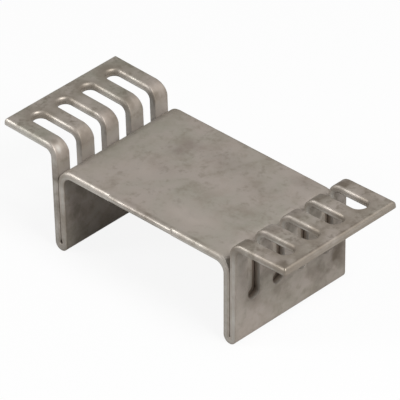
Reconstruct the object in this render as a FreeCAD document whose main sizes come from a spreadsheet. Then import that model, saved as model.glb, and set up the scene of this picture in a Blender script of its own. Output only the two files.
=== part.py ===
import FreeCAD, Part
import math
import os

import Sketcher

# Surface mount heat sink for a power transistor, folded from one sheet of tinned copper.
# A plate bridges the transistor. At each end the sheet bends down to a solder foot, turns
# back on itself in a closed hem, rises past the plate and bends out to a wing. Slots through
# each outer leg and wing part it into fingers, so that air passes between them.
# The origin is on the board, under the middle of the plate: X runs from wing to wing,
# Y across the strip and Z up. Lengths are in millimetres and angles in degrees.

SIZES = {
    "overall_width": 30.99,      # wing tip to wing tip
    "overall_height": 10.06,     # board to the top of a wing's tip
    "strip_depth": 12.70,        # width of the strip that the sheet was cut from
    "sheet_thickness": 0.635,
    "plate_height": 8.05,        # board to the top of the plate
    "foot_span": 18.72,          # between the middles of the two hems
    "leg_lean": 1.1,             # the legs come in a little towards their feet
    "wing_rise": 1.45,           # the wings rise a little towards their tips
    "plate_bend_radius": 0.84,   # inside radius where the plate turns down
    "wing_bend_radius": 0.63,    # inside radius where the outer leg turns out
    "ply_gap": 0.04,             # air left between the two pressed plies
    "eye_radius": 0.14,          # open eye left at the bottom of the hem
    "eye_flare_radius": 1.20,    # how gently the eye closes up to the pressed plies
    "slot_count": 4,             # in each side
    "slot_width": 1.32,
    "slot_pitch": 2.80,
    "slot_foot": 3.60,           # board to the lower end of a slot
    "slot_margin": 1.34,         # metal left between a slot and the wing's tip
    "edge_break": 0.09,          # how far tumbling has worn each sheared edge back
    "tab_width": 6.80,           # stub of the carrier strip on each side of the plate
    "tab_stub": 0.10,            # how far that stub stands out
}

START, END, CENTRE = range(1, 4)  # how a sketch numbers the points of a line or an arc
ORIGIN = (-1, START)
SHARP_ANGLE = 30                 # faces that meet at more than this many degrees make an edge
NEGLIGIBLE = 1e-6                # a distance under this is none
CUT_TOLERANCE = 0.2              # share of its estimate by which a cut's volume may be off

# Each pair of neighbours in the fold's section that run smoothly into each other.
SMOOTH_JOINTS = (
    ("under", END, "bend_inside", END),
    ("bend_inside", START, "inner_ply_inside", START),
    ("inner_ply_inside", END, "hem", START),
    ("hem", END, "outer_ply_outside", START),
    ("outer_ply_outside", END, "wing_bend_inside", END),
    ("wing_bend_inside", START, "wing_under", START),
    ("wing_top", END, "wing_bend_outside", START),
    ("wing_bend_outside", END, "outer_ply_inside", START),
    ("outer_ply_inside", END, "outer_flare", START),
    ("outer_flare", END, "eye", END),
    ("eye", START, "inner_flare", START),
    ("inner_flare", END, "inner_ply_outside", START),
    ("inner_ply_outside", END, "bend_outside", START),
    ("bend_outside", END, "plate_top", START),
)

# Points that are one and the same, at the corners and at the middles of the bends.
SHARED_POINTS = (
    ("wing_under", END, "tip", START),
    ("tip", END, "wing_top", START),
    ("plate_top", END, "middle", START),
    ("middle", END, "under", START),
    ("bend_outside", CENTRE, "bend_inside", CENTRE),
    ("wing_bend_outside", CENTRE, "wing_bend_inside", CENTRE),
    ("hem_axis", START, "hem", CENTRE),
    ("hem_axis", END, "eye", CENTRE),
)

PARALLELS = (
    ("wing_top", "wing_under"),
    ("inner_ply_outside", "inner_ply_inside"),
    ("outer_ply_inside", "outer_ply_outside"),
    ("outer_ply_outside", "inner_ply_inside"),
    ("hem_axis", "outer_ply_outside"),
)


def make_sheet(doc):
    """Puts each driving size in the spreadsheet, with its name as the cell's alias."""
    sheet = doc.addObject("Spreadsheet::Sheet", "Sizes")
    for row, (name, value) in enumerate(SIZES.items(), start=1):
        sheet.set(f"A{row}", name)
        sheet.set(f"B{row}", str(value))
        sheet.setAlias(f"B{row}", name)
    doc.recompute()
    return sheet


def origin_feature(body, role):
    for feature in body.Origin.OriginFeatures:
        if feature.Role == role:
            return feature
    raise RuntimeError("the body has no " + role)


def make_sketch(body, name, plane):
    sketch = body.newObject("Sketcher::SketchObject", name)
    sketch.AttachmentSupport = [(origin_feature(body, plane), "")]
    sketch.MapMode = "FlatFace"
    return sketch


def turned(angle):
    """Unit vector at an angle, in radians, from the sketch's horizontal."""
    return FreeCAD.Vector(math.cos(angle), math.sin(angle), 0)


def line(start, end):
    return Part.LineSegment(start, end)


def arc(centre, radius, start_angle, end_angle):
    """Arc that runs anticlockwise between two angles in radians."""
    circle = Part.Circle(centre, FreeCAD.Vector(0, 0, 1), radius)
    return Part.ArcOfCircle(circle, start_angle, end_angle)


def constrain(sketch, *constraint):
    return sketch.addConstraint(Sketcher.Constraint(*constraint))


def drive(sketch, name, expression, *constraint):
    """Adds one dimension to a sketch and binds it to the spreadsheet."""
    index = constrain(sketch, *constraint)
    sketch.renameConstraint(index, name)
    sketch.setExpression("Constraints." + name, expression)


def measure(sketch, name, *constraint):
    """Adds a reference dimension, which later features read by its name."""
    index = constrain(sketch, *constraint)
    sketch.setDriving(index, False)
    sketch.renameConstraint(index, name)


def fold_section(sheet):
    """Lines and arcs of the section of one half, from the plate's middle to a wing's tip."""
    thick = sheet.sheet_thickness
    lean = math.radians(sheet.leg_lean)
    rise = math.radians(sheet.wing_rise)
    up = FreeCAD.Vector(0, 1, 0)
    up_leg = turned(math.pi / 2 - lean)
    off_leg = turned(-lean)
    off_wing = turned(math.pi / 2 + rise)
    throat = sheet.ply_gap / 2

    hem_radius = thick + throat
    hem = FreeCAD.Vector(sheet.foot_span / 2, hem_radius, 0)

    bend = sheet.plate_bend_radius
    plate_bend = hem - off_leg * (hem_radius + bend)
    plate_bend += up_leg * ((sheet.plate_height - thick - bend - plate_bend.y) / up_leg.y)

    turn = sheet.wing_bend_radius
    tip_under = FreeCAD.Vector(sheet.overall_width / 2, sheet.overall_height - thick * off_wing.y, 0)
    tip_top = tip_under + off_wing * thick
    wing_bend = hem + off_leg * (hem_radius + turn)
    short = (tip_under - wing_bend).dot(off_wing) - turn
    wing_bend += up_leg * (short / up_leg.dot(off_wing))

    eye = hem + up_leg * ((thick + sheet.eye_radius - hem.y) / up_leg.y)
    flare = sheet.eye_flare_radius
    centres_apart = flare + sheet.eye_radius
    flare_angle = math.acos((flare + throat) / centres_apart)
    flare_rise = up_leg * (centres_apart * math.sin(flare_angle))
    outer_flare = eye + flare_rise + off_leg * (throat + flare)
    inner_flare = eye + flare_rise - off_leg * (throat + flare)

    middle_top = FreeCAD.Vector(0, sheet.plate_height, 0)
    middle_under = middle_top - up * thick
    quarter = math.pi / 2
    half = math.pi
    return {
        "under": line(middle_under, plate_bend + up * bend),
        "bend_inside": arc(plate_bend, bend, -lean, quarter),
        "inner_ply_inside": line(plate_bend + off_leg * bend, hem - off_leg * hem_radius),
        "hem": arc(hem, hem_radius, half - lean, 2 * half - lean),
        "outer_ply_outside": line(hem + off_leg * hem_radius, wing_bend - off_leg * turn),
        "wing_bend_inside": arc(wing_bend, turn, quarter + rise, half - lean),
        "wing_under": line(wing_bend + off_wing * turn, tip_under),
        "tip": line(tip_under, tip_top),
        "wing_top": line(tip_top, wing_bend + off_wing * (turn + thick)),
        "wing_bend_outside": arc(wing_bend, turn + thick, quarter + rise, half - lean),
        "outer_ply_inside": line(wing_bend - off_leg * (turn + thick), outer_flare - off_leg * flare),
        "outer_flare": arc(outer_flare, flare, half - lean, half - lean + flare_angle),
        "eye": arc(eye, sheet.eye_radius, half - lean - flare_angle, 2 * half - lean + flare_angle),
        "inner_flare": arc(inner_flare, flare, -lean - flare_angle, -lean),
        "inner_ply_outside": line(inner_flare + off_leg * flare, plate_bend + off_leg * (bend + thick)),
        "bend_outside": arc(plate_bend, bend + thick, -lean, quarter),
        "plate_top": line(plate_bend + up * (bend + thick), middle_top),
        "middle": line(middle_top, middle_under),
        "hem_axis": line(hem, eye),
    }


def draw_fold_section(sketch, sheet):
    section = fold_section(sheet)
    part = {name: sketch.addGeometry(shape, name == "hem_axis") for name, shape in section.items()}

    for first, first_end, second, second_end in SMOOTH_JOINTS:
        constrain(sketch, "Tangent", part[first], first_end, part[second], second_end)
    for first, first_end, second, second_end in SHARED_POINTS:
        constrain(sketch, "Coincident", part[first], first_end, part[second], second_end)
    for first, second in PARALLELS:
        constrain(sketch, "Parallel", part[first], part[second])
    constrain(sketch, "Vertical", *ORIGIN, part["middle"], START)
    constrain(sketch, "Vertical", part["middle"])
    constrain(sketch, "Horizontal", part["under"])
    constrain(sketch, "Horizontal", part["plate_top"])
    constrain(sketch, "Perpendicular", part["tip"], part["wing_under"])
    constrain(sketch, "Equal", part["inner_flare"], part["outer_flare"])

    for name, expression, curve in (
        ("hem_radius", "Sizes.sheet_thickness + Sizes.ply_gap / 2", "hem"),
        ("plate_bend_radius", "Sizes.plate_bend_radius", "bend_inside"),
        ("plate_bend_outside", "Sizes.plate_bend_radius + Sizes.sheet_thickness", "bend_outside"),
        ("wing_bend_radius", "Sizes.wing_bend_radius", "wing_bend_inside"),
        ("wing_bend_outside", "Sizes.wing_bend_radius + Sizes.sheet_thickness", "wing_bend_outside"),
        ("eye_radius", "Sizes.eye_radius", "eye"),
        ("eye_flare", "Sizes.eye_flare_radius", "outer_flare"),
    ):
        drive(sketch, name, expression, "Radius", part[curve], section[curve].Radius)
    for name, expression, curve, point in (
        ("plate_level", "Sizes.plate_height", "middle", START),
        ("hem_level", "Sizes.sheet_thickness + Sizes.ply_gap / 2", "hem", CENTRE),
        ("eye_level", "Sizes.sheet_thickness + Sizes.eye_radius", "eye", CENTRE),
        ("tip_level", "Sizes.overall_height", "tip", END),
    ):
        level = sketch.getPoint(part[curve], point).y
        drive(sketch, name, expression, "DistanceY", *ORIGIN, part[curve], point, level)
    for name, expression, curve, point in (
        ("hem_place", "Sizes.foot_span / 2", "hem", CENTRE),
        ("tip_place", "Sizes.overall_width / 2", "tip", START),
    ):
        place = sketch.getPoint(part[curve], point).x
        drive(sketch, name, expression, "DistanceX", *ORIGIN, part[curve], point, place)
    drive(sketch, "leg_angle", "(90 - Sizes.leg_lean) * 1 deg", "Angle", part["outer_ply_outside"],
          math.radians(90 - sheet.leg_lean))
    drive(sketch, "wing_angle", "Sizes.wing_rise * 1 deg", "Angle", part["wing_under"],
          math.radians(sheet.wing_rise))

    wing_bend = sketch.getPoint(part["wing_bend_inside"], CENTRE)
    measure(sketch, "wing_bend_level", "DistanceY", *ORIGIN, part["wing_bend_inside"], CENTRE, wing_bend.y)
    leg_foot = sketch.getPoint(part["outer_ply_outside"], START)
    measure(sketch, "leg_face_place", "DistanceX", *ORIGIN, part["outer_ply_outside"], START, leg_foot.x)
    measure(sketch, "leg_face_level", "DistanceY", *ORIGIN, part["outer_ply_outside"], START, leg_foot.y)


def add_folded_sheet(body):
    """The strip itself, folded and not yet slotted."""
    sketch = make_sketch(body, "FoldSection", "XZ_Plane")
    draw_fold_section(sketch, body.Document.Sizes)
    pad = body.newObject("PartDesign::Pad", "FoldedSheet")
    pad.Profile = sketch
    pad.SideType = "Symmetric"
    pad.setExpression("Length", "Sizes.strip_depth")
    return pad


def draw_slot(sketch, centre, along, straight, width):
    """Slot with one round end. The straight sides run from there along a unit vector."""
    side = FreeCAD.Vector(-along.y, along.x, 0) * (width / 2)
    away = along * straight
    angle = math.atan2(side.y, side.x)
    left = sketch.addGeometry(line(centre + side, centre + side + away), False)
    open_end = sketch.addGeometry(line(centre + side + away, centre - side + away), False)
    right = sketch.addGeometry(line(centre - side + away, centre - side), False)
    round_end = sketch.addGeometry(arc(centre, width / 2, angle, angle + math.pi), False)
    constrain(sketch, "Tangent", left, START, round_end, START)
    constrain(sketch, "Tangent", right, END, round_end, END)
    constrain(sketch, "Coincident", left, END, open_end, START)
    constrain(sketch, "Coincident", open_end, END, right, START)
    constrain(sketch, "Parallel", left, right)
    constrain(sketch, "Perpendicular", left, open_end)
    constrain(sketch, "Horizontal" if along.x else "Vertical", left)
    drive(sketch, "slot_end_radius", "Sizes.slot_width / 2", "Radius", round_end, width / 2)
    return left, round_end


def add_leg_slot(body):
    """Cuts the first slot through the outer leg alone, up from its round lower end."""
    sheet = body.Document.Sizes
    fold = body.Document.FoldSection
    foot_level = fold.getDatum("leg_face_level").Value
    foot_place = fold.getDatum("leg_face_place").Value
    bend_level = fold.getDatum("wing_bend_level").Value

    # The sketch lies in the outer leg's outer face, which leans. Its origin is where the hem ends.
    sketch = make_sketch(body, "LegSlotOutline", "YZ_Plane")
    lean = FreeCAD.Rotation(FreeCAD.Vector(1, 0, 0), sheet.leg_lean)
    sketch.AttachmentOffset = FreeCAD.Placement(FreeCAD.Vector(0, foot_level, foot_place), lean)
    sketch.setExpression("AttachmentOffset.Base.y", "FoldSection.Constraints.leg_face_level")
    sketch.setExpression("AttachmentOffset.Base.z", "FoldSection.Constraints.leg_face_place")
    sketch.setExpression("AttachmentOffset.Rotation.Angle", "Sizes.leg_lean * 1 deg")

    first = -(sheet.slot_count - 1) / 2 * sheet.slot_pitch
    centre = FreeCAD.Vector(first, sheet.slot_foot + sheet.slot_width / 2 - foot_level, 0)
    straight = bend_level - sheet.slot_foot
    side, round_end = draw_slot(sketch, centre, FreeCAD.Vector(0, 1, 0), straight, sheet.slot_width)
    drive(sketch, "slot_place", "-(Sizes.slot_count - 1) / 2 * Sizes.slot_pitch",
          "DistanceX", *ORIGIN, round_end, CENTRE, centre.x)
    drive(sketch, "slot_level",
          "(Sizes.slot_foot * 1 mm - FoldSection.Constraints.leg_face_level) / cos(Sizes.leg_lean * 1 deg)"
          " + Sizes.slot_width / 2 * 1 mm",
          "DistanceY", *ORIGIN, round_end, CENTRE, centre.y)
    drive(sketch, "slot_length",
          "(FoldSection.Constraints.wing_bend_level - Sizes.slot_foot * 1 mm) / cos(Sizes.leg_lean * 1 deg)",
          "Distance", side, straight)

    pocket = body.newObject("PartDesign::Pocket", "LegSlot")
    pocket.Profile = sketch
    pocket.SideType = "One side"
    pocket.Reversed = False
    pocket.setExpression("Length", "Sizes.sheet_thickness + Sizes.ply_gap / 2")
    return pocket


def add_wing_slot(body):
    """Carries the first slot on through the bend and out along the wing."""
    sheet = body.Document.Sizes
    fold = body.Document.FoldSection
    rise_of_gap = fold.getDatum("wing_bend_level").Value - fold.getDatum("hem_level").Value
    gap_place = sheet.foot_span / 2 + rise_of_gap * math.tan(math.radians(sheet.leg_lean))

    sketch = make_sketch(body, "WingSlotOutline", "XY_Plane")
    sketch.AttachmentOffset = FreeCAD.Placement(
        FreeCAD.Vector(0, 0, sheet.overall_height), FreeCAD.Rotation())
    sketch.setExpression("AttachmentOffset.Base.z", "Sizes.overall_height")

    outer = sheet.overall_width / 2 - sheet.slot_margin - sheet.slot_width / 2
    first = -(sheet.slot_count - 1) / 2 * sheet.slot_pitch
    centre = FreeCAD.Vector(outer, first, 0)
    side, round_end = draw_slot(sketch, centre, FreeCAD.Vector(-1, 0, 0), outer - gap_place,
                                sheet.slot_width)
    drive(sketch, "slot_reach", "Sizes.overall_width / 2 - Sizes.slot_margin - Sizes.slot_width / 2",
          "DistanceX", *ORIGIN, round_end, CENTRE, centre.x)
    drive(sketch, "slot_place", "-(Sizes.slot_count - 1) / 2 * Sizes.slot_pitch",
          "DistanceY", *ORIGIN, round_end, CENTRE, centre.y)
    # The inner end lies in the gap between the plies, at the level where the wing's bend begins.
    drive(sketch, "slot_length",
          "(Sizes.overall_width / 2 - Sizes.slot_margin - Sizes.slot_width / 2 - Sizes.foot_span / 2)"
          " * 1 mm - tan(Sizes.leg_lean * 1 deg)"
          " * (FoldSection.Constraints.wing_bend_level - FoldSection.Constraints.hem_level)",
          "Distance", side, outer - gap_place)

    pocket = body.newObject("PartDesign::Pocket", "WingSlot")
    pocket.Profile = sketch
    pocket.SideType = "One side"
    pocket.Reversed = False
    pocket.setExpression("Length", "Sizes.overall_height * 1 mm - FoldSection.Constraints.wing_bend_level")
    return pocket


def repeat_slots(body, slots):
    pattern = body.newObject("PartDesign::LinearPattern", "Slots")
    pattern.Originals = slots
    pattern.Direction = (origin_feature(body, "Y_Axis"), [""])
    pattern.Mode = "Spacing"
    pattern.setExpression("Offset", "Sizes.slot_pitch")
    pattern.setExpression("Occurrences", "Sizes.slot_count")
    body.Tip = pattern
    return pattern


def face_normal(face, point):
    u, v = face.Surface.parameter(point)
    return face.normalAt(u, v)


def on_middle_plane(edge):
    """True for the edges where this half meets its mirror image."""
    return all(abs(vertex.X) < NEGLIGIBLE for vertex in edge.Vertexes)


def sharp_edges(shape):
    """Names of the sheared edges, where two faces meet at an angle."""
    names = []
    for number, edge in enumerate(shape.Edges, start=1):
        if on_middle_plane(edge):
            continue
        middle = edge.valueAt((edge.FirstParameter + edge.LastParameter) / 2)
        first, second = shape.ancestorsOfType(edge, Part.Face)
        angle = face_normal(first, middle).getAngle(face_normal(second, middle))
        if math.degrees(angle) > SHARP_ANGLE:
            names.append(f"Edge{number}")
    return names


def break_edges(body):
    """Breaks every sheared edge of the blank: its outline, its tips and both rims of each slot."""
    sheared = body.Tip
    chamfer = body.newObject("PartDesign::Chamfer", "BrokenEdges")
    chamfer.Base = (sheared, sharp_edges(sheared.Shape))
    chamfer.setExpression("Size", "Sizes.edge_break")
    body.Tip = chamfer
    return chamfer


def add_tab_stub(body):
    """Stub of the strip that carried the blank, cut off last and left square, on both sides."""
    sheet = body.Document.Sizes
    sketch = make_sketch(body, "TabOutline", "XY_Plane")
    level = sheet.plate_height - sheet.sheet_thickness
    sketch.AttachmentOffset = FreeCAD.Placement(FreeCAD.Vector(0, 0, level), FreeCAD.Rotation())
    sketch.setExpression("AttachmentOffset.Base.z", "Sizes.plate_height - Sizes.sheet_thickness")

    # One half of the stub's outline: the mirror brings the other.
    across = sheet.tab_width / 2
    reach = sheet.strip_depth / 2 + sheet.tab_stub
    places = ((0, -reach), (across, -reach), (across, reach), (0, reach))
    corners = [FreeCAD.Vector(*place) for place in places]
    sides = [sketch.addGeometry(line(corners[k - 1], corner), False) for k, corner in enumerate(corners)]
    for k, side in enumerate(sides):
        constrain(sketch, "Coincident", sides[k - 1], END, side, START)
    middle, near, end, far = sides
    constrain(sketch, "Vertical", *ORIGIN, middle, END)
    constrain(sketch, "Vertical", middle)
    constrain(sketch, "Vertical", end)
    constrain(sketch, "Horizontal", near)
    constrain(sketch, "Horizontal", far)
    drive(sketch, "tab_half_width", "Sizes.tab_width / 2", "DistanceX", near, START, near, END, across)
    drive(sketch, "tab_length", "Sizes.strip_depth + 2 * Sizes.tab_stub", "DistanceY",
          end, START, end, END, 2 * reach)
    drive(sketch, "tab_reach", "Sizes.strip_depth / 2 + Sizes.tab_stub", "DistanceY",
          *ORIGIN, end, END, reach)

    pad = body.newObject("PartDesign::Pad", "TabStubs")
    pad.Profile = sketch
    pad.SideType = "One side"
    pad.setExpression("Length", "Sizes.sheet_thickness")
    return pad


def mirror_half(body):
    mirror = body.newObject("PartDesign::Mirrored", "BothSides")
    mirror.TransformMode = "Whole shape"
    mirror.MirrorPlane = (origin_feature(body, "YZ_Plane"), [""])
    body.Tip = mirror
    return mirror


def slot_volume(doc):
    """Metal that one slot takes out, from its length along the middle of the sheet."""
    sheet = doc.Sizes
    fold = doc.FoldSection
    up_leg = fold.getDatum("wing_bend_level").Value - sheet.slot_foot
    round_bend = (sheet.wing_bend_radius + sheet.sheet_thickness / 2) * math.pi / 2
    bend_end = fold.getDatum("leg_face_place").Value + sheet.wing_bend_radius
    along_wing = sheet.overall_width / 2 - sheet.slot_margin - bend_end
    between_ends = up_leg + round_bend + along_wing - sheet.slot_width
    area = between_ends * sheet.slot_width + math.pi * (sheet.slot_width / 2) ** 2
    return area * sheet.sheet_thickness


def check_removed(name, before, after, expected):
    """A cut that points away from the metal removes nothing and raises no error."""
    removed = before - after
    if abs(removed - expected) > CUT_TOLERANCE * expected:
        raise RuntimeError(f"{name} removed {removed:.3f} cubic mm and should remove about {expected:.3f}")


def check_document(doc):
    for feature in doc.Objects:
        if "Invalid" in feature.State or "Error" in feature.State:
            raise RuntimeError(f"{feature.Name} is {feature.State}")


def build_heat_sink(doc):
    body = doc.addObject("PartDesign::Body", "heat_sink")
    body.Label = "heat_sink"
    folded = add_folded_sheet(body)
    doc.recompute()

    leg_slot = add_leg_slot(body)
    doc.recompute()
    wing_slot = add_wing_slot(body)
    doc.recompute()
    slots = repeat_slots(body, [leg_slot, wing_slot])
    doc.recompute()
    one_slot = slot_volume(doc)
    check_removed("one slot", folded.Shape.Volume, wing_slot.Shape.Volume, one_slot)
    check_removed("the row of slots", folded.Shape.Volume, slots.Shape.Volume,
                  doc.Sizes.slot_count * one_slot)

    break_edges(body)
    doc.recompute()
    add_tab_stub(body)
    doc.recompute()
    mirror_half(body)
    doc.recompute()
    return body


def main():
    doc = FreeCAD.newDocument("heat_sink")
    make_sheet(doc)
    body = build_heat_sink(doc)
    check_document(doc)
    shape = body.Shape
    if shape.isNull() or not shape.isValid() or len(shape.Solids) != 1:
        raise RuntimeError("the heat sink is not one sound solid")
    os.makedirs("parts", exist_ok=True)
    shape.exportStep(f"parts/{body.Label}.step")
    box = shape.BoundBox
    print(f"{body.Label}: {box.XLength:.3f} x {box.YLength:.3f} x {box.ZLength:.3f} mm, "
          f"{shape.Volume:.2f} cubic mm, lowest point {box.ZMin:.4f}")


main()
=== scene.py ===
import math
from functools import partial

import bmesh
import bpy
from mathutils import Matrix, Vector


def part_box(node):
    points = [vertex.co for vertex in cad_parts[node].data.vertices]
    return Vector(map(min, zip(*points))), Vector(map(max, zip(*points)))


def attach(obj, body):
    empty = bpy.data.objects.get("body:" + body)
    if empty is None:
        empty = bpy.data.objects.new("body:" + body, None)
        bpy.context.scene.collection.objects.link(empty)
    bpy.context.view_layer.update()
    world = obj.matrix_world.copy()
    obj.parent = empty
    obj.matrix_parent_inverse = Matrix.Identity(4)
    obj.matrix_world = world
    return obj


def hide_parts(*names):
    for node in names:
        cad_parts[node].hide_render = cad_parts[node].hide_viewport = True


# Looks of a surface mount heat sink. A flat blank is cut from tinned copper sheet with its
# slots, its edges get the roll-over that blanking and tumbling leave, and a node tree folds
# it at the plate, the hem and the wing. One material gives the sheet its matte tin plate.
# Lengths are in metres, and the frame has its origin on the board under the plate. The upper
# face of the flat blank is the top of the plate and of the wings, and lies inside the seams.

bl_info = {
    "name": "Surface Mount Heat Sink",
    "version": (1, 0, 0),
    "blender": (4, 5, 0),
    "location": "View3D > Sidebar > Heat Sink",
    "description": "Folds a slotted heat sink from tinned copper sheet and lights it",
    "category": "Add Mesh",
}

MM = 0.001
NODE = "heat_sink"
BODY = "root"

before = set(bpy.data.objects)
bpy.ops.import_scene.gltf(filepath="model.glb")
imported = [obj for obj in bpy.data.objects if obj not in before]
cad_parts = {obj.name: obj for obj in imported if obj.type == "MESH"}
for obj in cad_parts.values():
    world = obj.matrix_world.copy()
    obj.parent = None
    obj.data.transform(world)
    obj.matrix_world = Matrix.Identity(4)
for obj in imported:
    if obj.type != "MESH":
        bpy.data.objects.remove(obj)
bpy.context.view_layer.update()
NODE_LOW, NODE_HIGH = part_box(NODE)


def number(name, description, value, **kind):
    return bpy.props.FloatProperty(name=name, description=description, default=value, **kind)


def length(name, description, value):
    """A length in metres, written here in millimetres."""
    return number(name, description, value * MM, unit="LENGTH", precision=5)


def angle(name, description, degrees):
    return number(name, description, math.radians(degrees), subtype="ANGLE")


def colour(name, description, value):
    """A colour as the sRGB hex that a user would write."""
    return bpy.props.StringProperty(name=name, description=description, default=value)


class HeatSinkSizes(bpy.types.PropertyGroup):
    """Sizes of the folded strip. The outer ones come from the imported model."""

    overall_width: length("Overall width", "Wing tip to wing tip", (NODE_HIGH.x - NODE_LOW.x) / MM)
    overall_height: length("Overall height", "Board to the top of a wing", NODE_HIGH.z / MM)
    stub_depth: length("Depth over the stubs", "Across the strip, with both stubs",
                       (NODE_HIGH.y - NODE_LOW.y) / MM)
    thickness: length("Sheet thickness", "Thickness of the sheet", 0.635)
    plate_height: length("Plate height", "Board to the top of the plate", 8.05)
    foot_span: length("Foot span", "Between the middles of the two hems", 18.72)
    leg_lean: angle("Leg lean", "How far the legs come in towards their feet", 1.1)
    wing_rise: angle("Wing rise", "How far the wings rise towards their tips", 1.45)
    plate_bend: length("Plate bend radius", "Inside radius where the plate turns down", 0.84)
    wing_bend: length("Wing bend radius", "Inside radius where the leg turns out", 0.63)
    ply_gap: length("Ply gap", "Air left between the two pressed plies", 0.04)
    eye_radius: length("Eye radius", "Open eye at the bottom of the hem", 0.14)
    eye_flare: length("Eye flare radius", "How gently the eye closes up", 1.20)
    slot_count: bpy.props.IntProperty(name="Slots", description="Slots in each side", default=4, min=1)
    slot_width: length("Slot width", "Width of a slot", 1.32)
    slot_pitch: length("Slot pitch", "Between the middles of two slots", 2.80)
    slot_foot: length("Slot foot", "Board to the lower end of a slot", 3.60)
    slot_margin: length("Slot margin", "Metal between a slot and the wing's tip", 1.34)
    tab_width: length("Stub width", "Stub of the carrier strip on each side of the plate", 6.80)
    tab_stub: length("Stub height", "How far that stub stands out", 0.10)
    band_width: length("Edge band", "Strip of finer faces along each cut edge", 0.34)
    corner_power: number("Corner power", "How square the blank's corners are: 2 is a quarter circle", 6.0)
    roll_width: length("Roll-over width", "How far the upper edge's rounding reaches in", 0.26)
    roll_depth: length("Roll-over depth", "How far the upper edge's rounding reaches down", 0.40)
    burr_round: length("Lower edge rounding", "Rounding that tumbling leaves below", 0.04)
    pressed_round: length("Pressed edge rounding", "What the press leaves of the upper rounding", 0.07)
    stub_round: length("Stub edge rounding", "Rounding of the stub, which is cut off last", 0.24)
    stub_shift: length("Stub shift", "How far right of the plate's middle the stub lies", -0.30)
    near_stub: number("Near stub", "Share of its height that the near side's stub stands out", 1.0)
    far_stub: number("Far stub", "The same for the far side's stub, which is cut flush", 0.0)
    eye_left: number("Left eye", "How far the left hem's eye stands open", 1.0)
    eye_right: number("Right eye", "How far the right hem's eye stands open", 0.15)
    unevenness: length("Unevenness", "How far the worn edges wander", 0.02)


class TinPlateLook(bpy.types.PropertyGroup):
    """Finish of the sheet."""

    base: colour("Base", "Even grey of the tin", "#9C948B")
    cool: colour("Cool patches", "Greenish grey patches", "#949185")
    warm: colour("Warm patches", "Pinkish grey patches", "#A2978F")
    # Besides rubbed plating, this colour is painted light on the left fingers' faces, the right leg's lower
    # front and the walls of the right wing's slots.
    bright: colour("Bright patches", "Smooth plating that the tools have rubbed", "#A69D95")
    film: colour("Film", "Greenish grey film on the left wing", "#7B796D")
    # Besides handling marks, this colour is painted shade on the legs' front cut faces, the right tip's
    # lower half and the groove at the plate's right bend.
    smudge_and_shade: colour("Smudges", "Darker handling marks", "#80776C")
    tarnish: colour("Tarnish", "Purplish brown places on the plate", "#80746D")
    # Besides brown dirt, this colour is painted shade on the fingers' bends and feet, the right leg's far
    # half, the left legs' front cut faces and the glint at the right tip's near corner.
    grime_and_shade: colour("Grime", "Brown dirt by the bends and the slots", "#5E5449")
    # Besides burnished edges, this colour is painted highlights on the left wing's front edge, the right
    # tip's rounding and the rims in the right wing's bends, a faint painted sheen on the left fingers'
    # bends, and painted light in the cusp at the front of the right seam.
    worn: colour("Worn edges", "Burnished metal on the edges", "#C5C2BC")
    torn: colour("Torn metal", "Rough lower part of the cut", "#B2AFA9")
    stain: colour("Stain", "Dark brown stain in the slots' lower ends", "#6A5E52")
    residue: colour("Residue", "Brown residue in the legs' slots", "#82756A")
    metallic: number("Metallic", "How much of the surface is clean metal", 0.6)
    roughness: number("Roughness", "Roughness of the matte tin", 0.60)
    burnished_roughness: number("Burnished roughness", "Roughness of the worn edges", 0.45)


class StudioLook(bpy.types.PropertyGroup):
    """Camera and lights."""

    azimuth: angle("Azimuth", "Round the object from its front", 44.645)
    elevation: angle("Elevation", "Above the board", 34.78)
    roll: angle("Roll", "Turn of the camera about its own line of sight", -1.134)
    distance: length("Distance", "Camera to the aimed point", 434.766)
    lens: number("Lens", "Focal length", 491.09, unit="CAMERA")
    aim_height: length("Aim height", "Height of the aimed point above the board", 5.047)
    aim_right: length("Aim right", "How far the object stands right of the picture's middle", -0.092)
    aim_up: length("Aim up", "How far the object stands above the picture's middle", -0.863)
    dome: number("Dome", "Strength of the even light from all round", 0.25)
    key: number("Key", "Power of the key light", 0.50, unit="POWER")
    fill: number("Fill", "Power of the fill light", 1.30, unit="POWER")


def linear(hex_colour):
    """An sRGB hex colour as linear red, green, blue and alpha."""
    parts = [int(hex_colour[k:k + 2], 16) / 255 for k in (1, 3, 5)]
    return tuple(c / 12.92 if c <= 0.04045 else ((c + 0.055) / 1.055) ** 2.4 for c in parts) + (1.0,)


def add_node(tree, kind, inputs=None, **settings):
    """Adds a node, sets its properties, and sets or links its inputs by name or number.

    A node given as an input stands for its first live output, and a list links each of its members."""
    node = tree.nodes.new(kind)
    for name, value in settings.items():
        setattr(node, name, value)
    for socket, value in (inputs or {}).items():
        for source in value if isinstance(value, list) else [value]:
            if isinstance(source, bpy.types.Node):
                source = next(output for output in source.outputs if output.enabled)
            if isinstance(source, bpy.types.NodeSocket):
                tree.links.new(source, node.inputs[socket])
            else:
                node.inputs[socket].default_value = source
    return node


# A slot is open over the inner ply, and over this much of the bend above that.
SEAM_TOP = 0.6 * MM


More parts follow.
